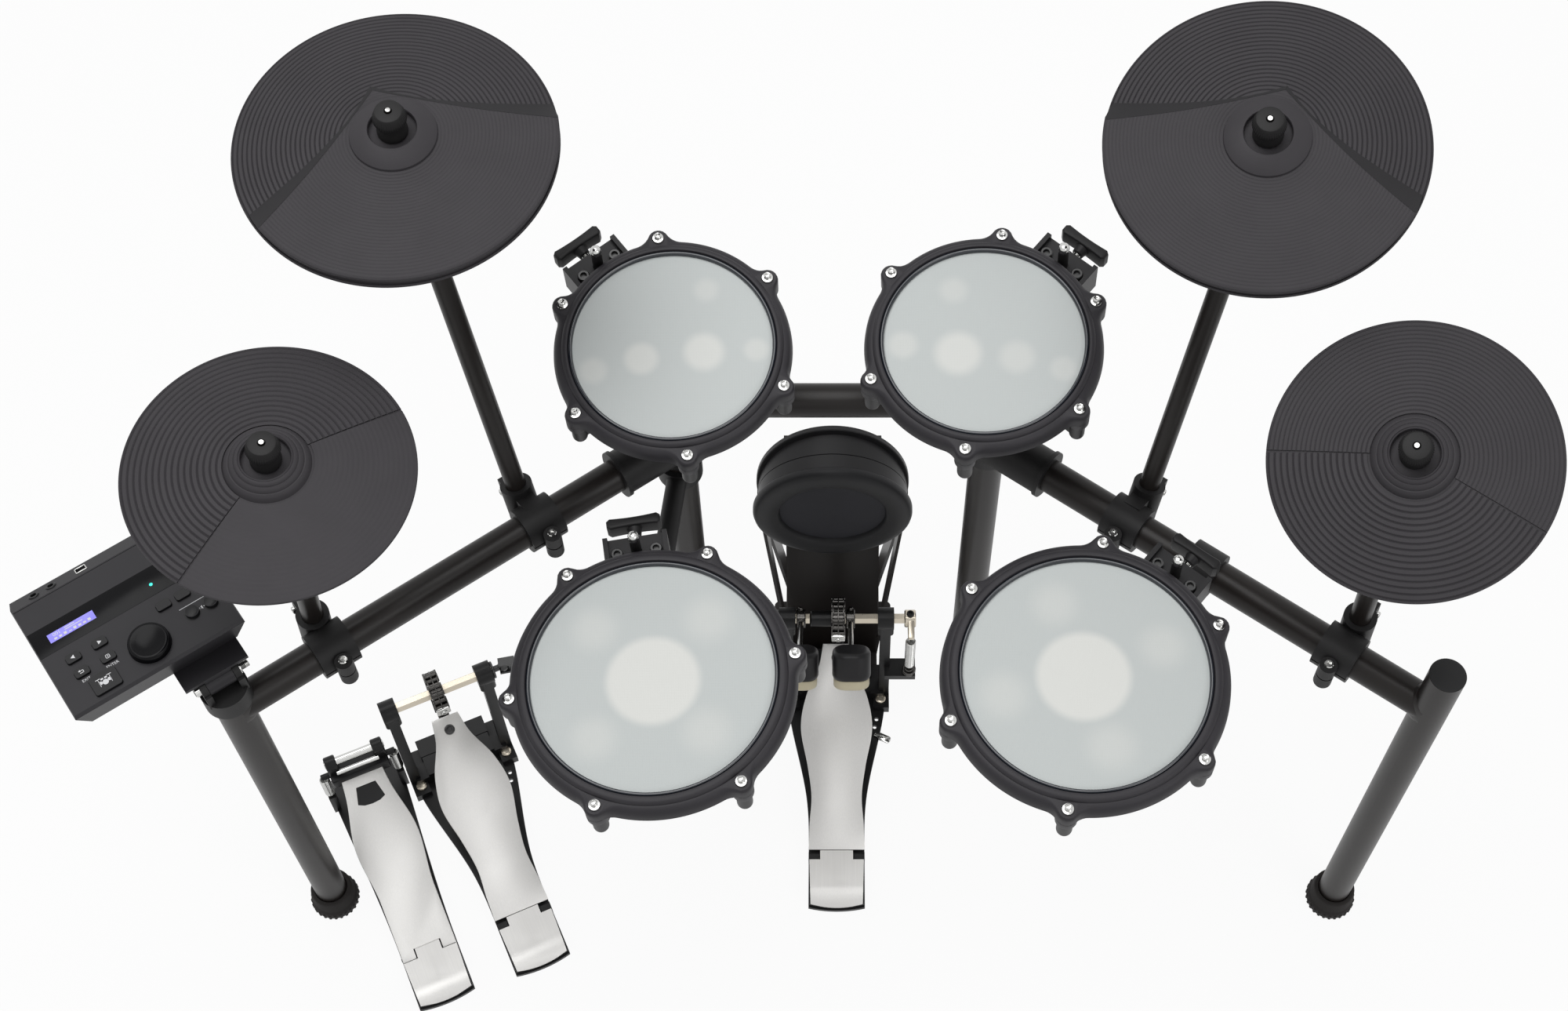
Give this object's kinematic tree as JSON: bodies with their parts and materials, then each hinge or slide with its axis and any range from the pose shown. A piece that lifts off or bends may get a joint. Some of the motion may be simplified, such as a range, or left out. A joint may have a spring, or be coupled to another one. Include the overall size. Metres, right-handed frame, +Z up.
{
  "type": "electronic drum kit",
  "caption": "electronic drum kit on a folding tube rack: rubber cymbals, mesh drum pads, sound module, kick tower with double pedal and hi-hat pedal",
  "frame": {"origin": "on the floor, in the middle of the kit's floor plan", "axes": "+X across the kit to the drummer's right, +Y away from the drummer, +Z up"},
  "size_m": [1.488, 0.6852, 1.0864],
  "materials": {
    "rack_tube": "satin",
    "foot_rubber": "matte",
    "clamp": "matte",
    "cymbal_rubber": "matte",
    "nut_plastic": "satin",
    "hoop_rubber": "matte",
    "pad_plastic": "matte",
    "mesh": "matte",
    "bolt_grip": "matte",
    "module_plastic": "satin",
    "key_plastic": "satin",
    "tower_metal": "satin",
    "kick_plastic": "satin",
    "kick_rubber": "matte",
    "pedal_black": "satin",
    "pedal_alloy": "brushed",
    "pedal_drive": "satin",
    "drive_steel": "satin",
    "spring_chrome": "polished"
  },
  "bodies": {
    "rack": {"rear_frame": "rack_tube", "rear_feet": "foot_rubber", "pad_arms": "clamp", "kick_tower": "tower_metal", "kick_pad_shell": "kick_plastic", "kick_pad_face": "kick_rubber", "kick_pedal_base": "pedal_black", "slave_pedal_base": "pedal_black", "hihat_pedal_base": "pedal_black", "kick_spring": "spring_chrome", "hihat_springs": "spring_chrome"},
    "left_wing": {"left_side_frame": "rack_tube", "left_foot": "foot_rubber", "left_clamps": "clamp"},
    "right_wing": {"right_side_frame": "rack_tube", "right_foot": "foot_rubber", "right_clamps": "clamp"},
    "crash_left_arm": {"crash_left_arm": "rack_tube"},
    "crash_left_nut": {"crash_left_nut": "nut_plastic"},
    "crash_left_cymbal": {"crash_left_cymbal": "cymbal_rubber"},
    "crash_right_arm": {"crash_right_arm": "rack_tube"},
    "crash_right_nut": {"crash_right_nut": "nut_plastic"},
    "crash_right_cymbal": {"crash_right_cymbal": "cymbal_rubber"},
    "hihat_arm": {"hihat_arm": "rack_tube"},
    "hihat_nut": {"hihat_nut": "nut_plastic"},
    "hihat_cymbal": {"hihat_cymbal": "cymbal_rubber"},
    "ride_arm": {"ride_arm": "rack_tube"},
    "ride_nut": {"ride_nut": "nut_plastic"},
    "ride_cymbal": {"ride_cymbal": "cymbal_rubber"},
    "tom_left_pad": {"tom_left_shell": "pad_plastic", "tom_left_hoop": "hoop_rubber", "tom_left_head": "mesh"},
    "tom_left_wing_bolt": {"tom_left_wing_bolt": "bolt_grip"},
    "tom_right_pad": {"tom_right_shell": "pad_plastic", "tom_right_hoop": "hoop_rubber", "tom_right_head": "mesh"},
    "tom_right_wing_bolt": {"tom_right_wing_bolt": "bolt_grip"},
    "snare_pad": {"snare_shell": "pad_plastic", "snare_hoop": "hoop_rubber", "snare_head": "mesh"},
    "snare_wing_bolt": {"snare_wing_bolt": "bolt_grip"},
    "floor_tom_pad": {"floor_tom_shell": "pad_plastic", "floor_tom_hoop": "hoop_rubber", "floor_tom_head": "mesh"},
    "floor_tom_wing_bolt": {"floor_tom_wing_bolt": "bolt_grip"},
    "module": {"module_case": "module_plastic"},
    "module_dial": {"module_dial": "module_plastic"},
    "kit_button": {"kit_button": "key_plastic"},
    "left_arrow_button": {"left_arrow_button": "key_plastic"},
    "right_arrow_button": {"right_arrow_button": "key_plastic"},
    "exit_button": {"exit_button": "key_plastic"},
    "enter_button": {"enter_button": "key_plastic"},
    "function_buttons": {"function_buttons": "key_plastic"},
    "kick_footboard": {"kick_footboard": "pedal_alloy"},
    "kick_beater": {"kick_beater": "pedal_drive"},
    "second_beater": {"second_beater": "pedal_drive"},
    "drive_shaft": {"drive_shaft": "drive_steel"},
    "slave_cam": {"slave_cam": "pedal_drive"},
    "slave_footboard": {"slave_footboard": "pedal_alloy"},
    "hihat_footboard": {"hihat_footboard": "pedal_alloy"}
  },
  "joints": [
    {"name": "left_wing_swing", "type": "hinge", "parent": "rack", "child": "left_wing", "pos_m": [-0.09089, 0.15915, 0.56], "axis": [0, 0, 1], "range_deg": [-20, 4]},
    {"name": "right_wing_swing", "type": "hinge", "parent": "rack", "child": "right_wing", "pos_m": [0.25311, 0.15915, 0.56], "axis": [0, 0, 1], "range_deg": [-8, 20]},
    {"name": "crash_left_arm_turn", "type": "hinge", "parent": "left_wing", "child": "crash_left_arm", "pos_m": [-0.25756, 0.08224, 0.56], "axis": [-0.1548, 0.2471, 0.9566], "range_deg": [-15, 15]},
    {"name": "crash_left_rock", "type": "hinge", "parent": "crash_left_arm", "child": "crash_left_cymbal", "pos_m": [-0.32501, 0.18851, 1.04913], "axis": [0.9994, 0.0026, -0.0339], "range_deg": [-6, 6], "stiffness_Nm_per_rad": 3},
    {"name": "crash_left_nut_spin", "type": "hinge", "parent": "crash_left_arm", "child": "crash_left_nut", "pos_m": [-0.32501, 0.18851, 1.04913], "axis": [0.034, -0.077, 0.9964], "continuous": true},
    {"name": "crash_right_arm_turn", "type": "hinge", "parent": "right_wing", "child": "crash_right_arm", "pos_m": [0.41979, 0.08224, 0.56], "axis": [0.1598, 0.2667, 0.9504], "range_deg": [-15, 15]},
    {"name": "crash_right_rock", "type": "hinge", "parent": "crash_right_arm", "child": "crash_right_cymbal", "pos_m": [0.48419, 0.18879, 1.04447], "axis": [0.9926, -0.0266, 0.1181], "range_deg": [-6, 6], "stiffness_Nm_per_rad": 3},
    {"name": "crash_right_nut_spin", "type": "hinge", "parent": "crash_right_arm", "child": "crash_right_nut", "pos_m": [0.48419, 0.18879, 1.04447], "axis": [-0.121, -0.2181, 0.9684], "continuous": true},
    {"name": "hihat_arm_turn", "type": "hinge", "parent": "left_wing", "child": "hihat_arm", "pos_m": [-0.46446, -0.06852, 0.56], "axis": [0.0908, -0.0894, 0.9919], "range_deg": [-15, 15]},
    {"name": "hihat_rock", "type": "hinge", "parent": "hihat_arm", "child": "hihat_cymbal", "pos_m": [-0.43002, -0.09965, 0.93902], "axis": [0.9962, 0.0034, -0.087], "range_deg": [-6, 6], "stiffness_Nm_per_rad": 3},
    {"name": "hihat_nut_spin", "type": "hinge", "parent": "hihat_arm", "child": "hihat_nut", "pos_m": [-0.43002, -0.09965, 0.93902], "axis": [0.087, -0.039, 0.9954], "continuous": true},
    {"name": "ride_arm_turn", "type": "hinge", "parent": "right_wing", "child": "ride_arm", "pos_m": [0.63315, -0.07323, 0.56], "axis": [-0.038, -0.0002, 0.9993], "range_deg": [-15, 15]},
    {"name": "ride_rock", "type": "hinge", "parent": "ride_arm", "child": "ride_cymbal", "pos_m": [0.60901, -0.09051, 0.93566], "axis": [0.9798, -0.0586, 0.1912], "range_deg": [-6, 6], "stiffness_Nm_per_rad": 3},
    {"name": "ride_nut_spin", "type": "hinge", "parent": "ride_arm", "child": "ride_nut", "pos_m": [0.60901, -0.09051, 0.93566], "axis": [-0.2, -0.287, 0.9368], "continuous": true},
    {"name": "tom_left_swivel", "type": "hinge", "parent": "rack", "child": "tom_left_pad", "pos_m": [-0.16337, 0.23952, 0.79942], "axis": [0.008, -0.1581, 0.9874], "range_deg": [-12, 12]},
    {"name": "tom_left_bolt_turn", "type": "hinge", "parent": "tom_left_pad", "child": "tom_left_wing_bolt", "pos_m": [-0.16379, 0.2479, 0.74709], "axis": [-0.6212, 0.773, 0.1288], "continuous": true},
    {"name": "tom_right_swivel", "type": "hinge", "parent": "rack", "child": "tom_right_pad", "pos_m": [0.31911, 0.23815, 0.80611], "axis": [-0.043, -0.128, 0.9908], "range_deg": [-12, 12]},
    {"name": "tom_right_bolt_turn", "type": "hinge", "parent": "tom_right_pad", "child": "tom_right_wing_bolt", "pos_m": [0.32139, 0.24493, 0.7536], "axis": [0.6452, 0.7537, 0.1253], "continuous": true},
    {"name": "snare_swivel", "type": "hinge", "parent": "rack", "child": "snare_pad", "pos_m": [-0.11941, -0.04434, 0.70413], "axis": [-0.032, -0.047, 0.9984], "range_deg": [-12, 12]},
    {"name": "snare_bolt_turn", "type": "hinge", "parent": "snare_pad", "child": "snare_wing_bolt", "pos_m": [-0.11772, -0.04184, 0.65122], "axis": [-0.1579, 0.9866, 0.0414], "continuous": true},
    {"name": "floor_tom_swivel", "type": "hinge", "parent": "right_wing", "child": "floor_tom_pad", "pos_m": [0.42425, -0.0789, 0.7172], "axis": [-0.023, -0.056, 0.9982], "range_deg": [-12, 12]},
    {"name": "floor_tom_bolt_turn", "type": "hinge", "parent": "floor_tom_pad", "child": "floor_tom_wing_bolt", "pos_m": [0.42547, -0.07594, 0.66429], "axis": [0.6398, 0.7663, 0.0577], "continuous": true},
    {"name": "module_tilt", "type": "hinge", "parent": "left_wing", "child": "module", "pos_m": [-0.53689, -0.16585, 0.626], "axis": [0.8131, 0.5821, 0], "range_deg": [-5, 25]},
    {"name": "dial_turn", "type": "hinge", "parent": "module", "child": "module_dial", "pos_m": [-0.59216, -0.15695, 0.686], "axis": [0, 0, 1], "continuous": true},
    {"name": "kick_footboard_hinge", "type": "hinge", "parent": "rack", "child": "kick_footboard", "pos_m": [0.08611, -0.11685, 0.015], "axis": [-1, 0, 0], "range_deg": [0, 5.9], "stiffness_Nm_per_rad": 12, "springref_deg": -6.88},
    {"name": "kick_beater_swing", "type": "hinge", "parent": "rack", "child": "kick_beater", "pos_m": [0.08611, 0.12815, 0.186], "axis": [-1, 0, 0], "range_deg": [0, 62], "deforming": ["kick_spring"]},
    {"name": "slave_footboard_hinge", "type": "hinge", "parent": "rack", "child": "slave_footboard", "pos_m": [-0.29959, -0.19547, 0.015], "axis": [-0.91, -0.4147, 0], "range_deg": [0, 5.9], "stiffness_Nm_per_rad": 12, "springref_deg": -6.88},
    {"name": "slave_cam_turn", "type": "hinge", "parent": "rack", "child": "slave_cam", "pos_m": [-0.40119, 0.02747, 0.186], "axis": [-0.91, -0.4147, 0], "range_deg": [0, 62]},
    {"name": "drive_shaft_turn", "type": "hinge", "parent": "rack", "child": "drive_shaft", "pos_m": [-0.32256, 0.0633, 0.186], "axis": [-0.9803, -0.1973, 0], "range_deg": [0, 62]},
    {"name": "second_beater_swing", "type": "hinge", "parent": "rack", "child": "second_beater", "pos_m": [0.08611, 0.12815, 0.186], "axis": [-1, 0, 0], "range_deg": [0, 62]},
    {"name": "hihat_footboard_hinge", "type": "hinge", "parent": "rack", "child": "hihat_footboard", "pos_m": [-0.41265, -0.23877, 0.015], "axis": [-0.9128, -0.4083, 0], "range_deg": [0, 5], "stiffness_Nm_per_rad": 15, "springref_deg": -6.88, "deforming": ["hihat_springs"]},
    {"name": "kit_button_press", "type": "slide", "parent": "module", "child": "kit_button", "axis": [0, 0, -1], "range_m": [0, 0.001], "stiffness_N_per_m": 600, "springref_m": -0.0005},
    {"name": "left_arrow_button_press", "type": "slide", "parent": "module", "child": "left_arrow_button", "axis": [0, 0, -1], "range_m": [0, 0.001], "stiffness_N_per_m": 600, "springref_m": -0.0005},
    {"name": "right_arrow_button_press", "type": "slide", "parent": "module", "child": "right_arrow_button", "axis": [0, 0, -1], "range_m": [0, 0.001], "stiffness_N_per_m": 600, "springref_m": -0.0005},
    {"name": "exit_button_press", "type": "slide", "parent": "module", "child": "exit_button", "axis": [0, 0, -1], "range_m": [0, 0.001], "stiffness_N_per_m": 600, "springref_m": -0.0005},
    {"name": "enter_button_press", "type": "slide", "parent": "module", "child": "enter_button", "axis": [0, 0, -1], "range_m": [0, 0.001], "stiffness_N_per_m": 600, "springref_m": -0.0005},
    {"name": "function_buttons_press", "type": "slide", "parent": "module", "child": "function_buttons", "axis": [0, 0, -1], "range_m": [0, 0.001], "stiffness_N_per_m": 600, "springref_m": -0.0005}
  ],
  "couplings": [
    {"joint": "kick_beater_swing", "follows": "kick_footboard_hinge", "ratio": 10.39},
    {"joint": "slave_cam_turn", "follows": "slave_footboard_hinge", "ratio": 10.39},
    {"joint": "drive_shaft_turn", "follows": "slave_footboard_hinge", "ratio": 10.39},
    {"joint": "second_beater_swing", "follows": "slave_footboard_hinge", "ratio": 10.39}
  ]
}
